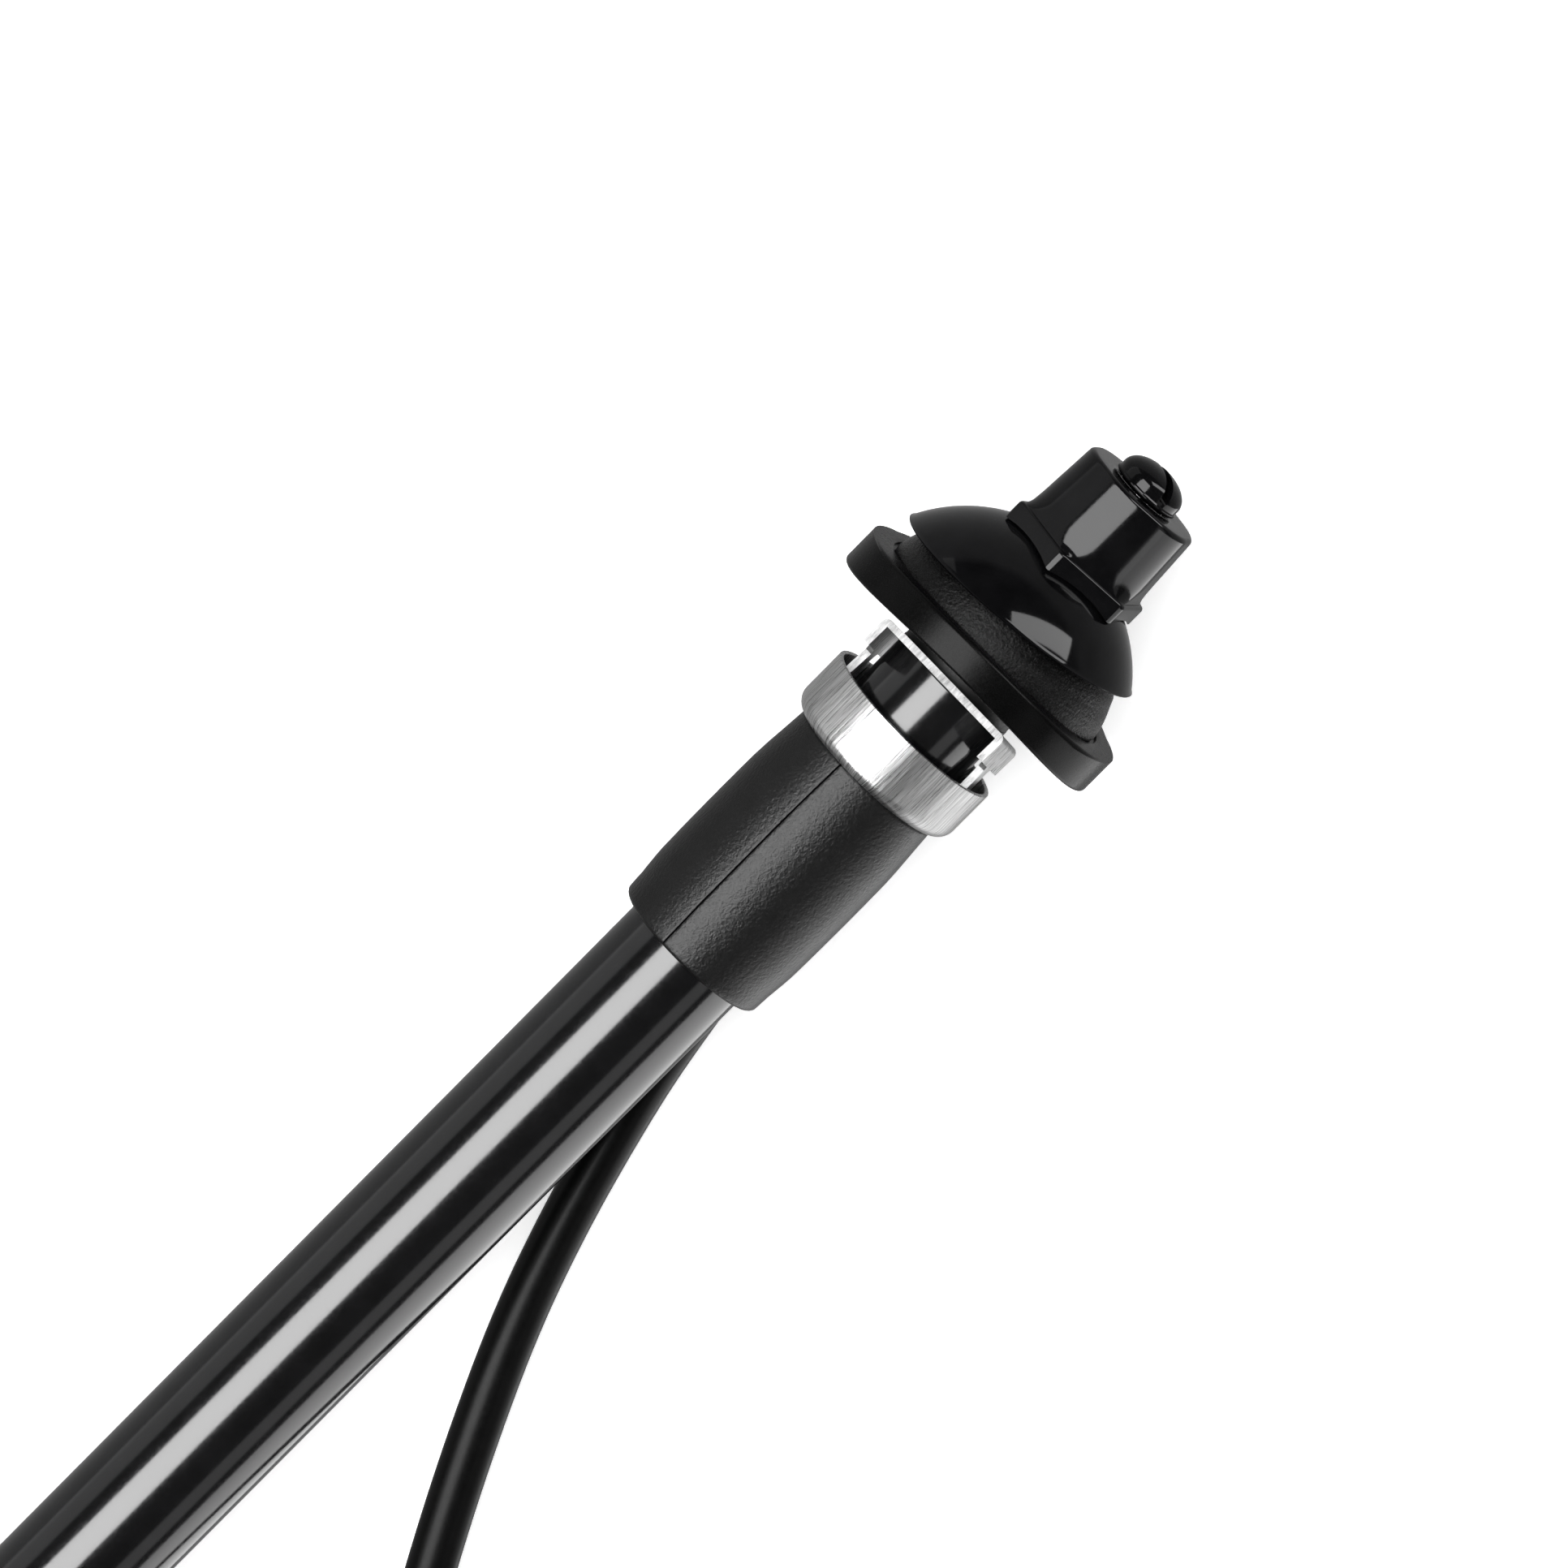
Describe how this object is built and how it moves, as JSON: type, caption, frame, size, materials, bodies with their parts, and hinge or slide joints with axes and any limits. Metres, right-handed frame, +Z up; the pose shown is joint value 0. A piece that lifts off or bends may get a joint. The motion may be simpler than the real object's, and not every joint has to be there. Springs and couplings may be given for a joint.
{
  "type": "telescopic car antenna",
  "caption": "Retractable wing-mount car radio antenna, lowered: black hex nut and dome on a swivel seat and rubber pad, claw clamp, feeder sleeve, tube and coax lead.",
  "frame": {"origin": "under the middle of the antenna, on the surface it lies on, without its lead", "axes": "+X along the mast towards the tip, +Z up from the surface, the mast axis rising 1.8 degrees towards the tip"},
  "size_m": [0.327, 0.1014, 0.0352],
  "materials": {
    "tip_black": "gloss black, domed and slotted",
    "nut_black": "gloss black enamel",
    "dome_black": "gloss black enamel",
    "seat_black": "grained matte black",
    "pad_rubber": "satin black rubber",
    "claw_steel": "bright zinc-plated sheet",
    "cup_steel": "axially brushed plated steel",
    "tube_black": "gloss black coating",
    "sleeve_black": "fine-grained matte black",
    "lead_black": "satin black cable jacket",
    "gland_black": "matte black rubber",
    "tie_black": "moulded nylon",
    "mast_chrome": "bright chrome",
    "foot_brass": "spring brass",
    "foot_nylon": "natural nylon",
    "neck_brass": "turned brass",
    "liner_nylon": "natural nylon",
    "contact_bronze": "phosphor bronze",
    "copper_wire": "bare copper",
    "plug_nickel": "nickel plate",
    "plug_white": "white insulator",
    "boot_black": "moulded black boot",
    "cap_black": "moulded black cap",
    "ring_steel": "plain steel"
  },
  "bodies": {
    "antenna_body": {"housing_tube": "tube_black", "threaded_neck": "neck_brass", "neck_liner": "liner_nylon", "contact_holder": "liner_nylon", "contact_ring": "contact_bronze", "bottom_stop": "gland_black", "end_cap": "cap_black", "clamp_cup": "cup_steel", "sleeve_left": "sleeve_black", "sleeve_right": "sleeve_black", "lead_gland": "gland_black", "lead_end": "lead_black", "inner_conductor": "copper_wire", "lead_cable": "lead_black", "lead_coil": "lead_black", "lead_tail": "lead_black", "coil_tie": "tie_black", "plug_boot": "boot_black", "plug_shell": "plug_nickel", "plug_insulator": "plug_white", "plug_pin": "plug_nickel"},
    "claw": {"claw_bracket": "claw_steel"},
    "clamp_stack": {"slip_ring": "ring_steel"},
    "nut": {"head_nut": "nut_black", "wiper_seal": "gland_black"},
    "dome": {"dome_cap": "dome_black"},
    "base": {"swivel_seat": "seat_black", "rubber_pad": "pad_rubber"},
    "mast_1": {"mast_stage_1": "mast_chrome", "stage_1_foot": "foot_nylon"},
    "mast_2": {"mast_stage_2": "mast_chrome", "stage_2_foot": "foot_brass"},
    "mast_3": {"mast_stage_3": "mast_chrome", "stage_3_foot": "foot_brass"},
    "mast_4": {"mast_rod": "mast_chrome", "rod_foot": "foot_brass", "tip_button": "tip_black"}
  },
  "joints": [
    {"name": "claw_rock", "type": "hinge", "parent": "antenna_body", "child": "claw", "pos_m": [0.13026, 0, 0.01741], "axis": [-0.0039, -0.9921, 0.1253], "range_deg": [0, 20]},
    {"name": "clamp_travel", "type": "slide", "parent": "antenna_body", "child": "clamp_stack", "axis": [0.9995, 0, 0.0312], "range_m": [-0.0011, 0]},
    {"name": "nut_turn", "type": "hinge", "parent": "clamp_stack", "child": "nut", "pos_m": [0.15242, 0, 0.0181], "axis": [0.9995, 0, 0.0312], "range_deg": [-360, 0]},
    {"name": "dome_tilt", "type": "hinge", "parent": "clamp_stack", "child": "dome", "pos_m": [0.13251, 0, 0.01748], "axis": [-0.0312, 0, 0.9995], "range_deg": [-10.8, 0]},
    {"name": "base_tilt", "type": "hinge", "parent": "clamp_stack", "child": "base", "pos_m": [0.13251, 0, 0.01748], "axis": [-0.0312, 0, 0.9995], "range_deg": [-3.5, 3.5]},
    {"name": "mast_1_slide", "type": "slide", "parent": "antenna_body", "child": "mast_1", "axis": [0.9995, 0, 0.0312], "range_m": [0, 0.235]},
    {"name": "mast_2_slide", "type": "slide", "parent": "mast_1", "child": "mast_2", "axis": [0.9995, 0, 0.0312], "range_m": [0, 0.235]},
    {"name": "mast_3_slide", "type": "slide", "parent": "mast_2", "child": "mast_3", "axis": [0.9995, 0, 0.0312], "range_m": [0, 0.23]},
    {"name": "mast_4_slide", "type": "slide", "parent": "mast_3", "child": "mast_4", "axis": [0.9995, 0, 0.0312], "range_m": [0, 0.225]}
  ],
  "couplings": [
    {"joint": "clamp_travel", "follows": "nut_turn", "m_per_rad": 0.00015915}
  ]
}
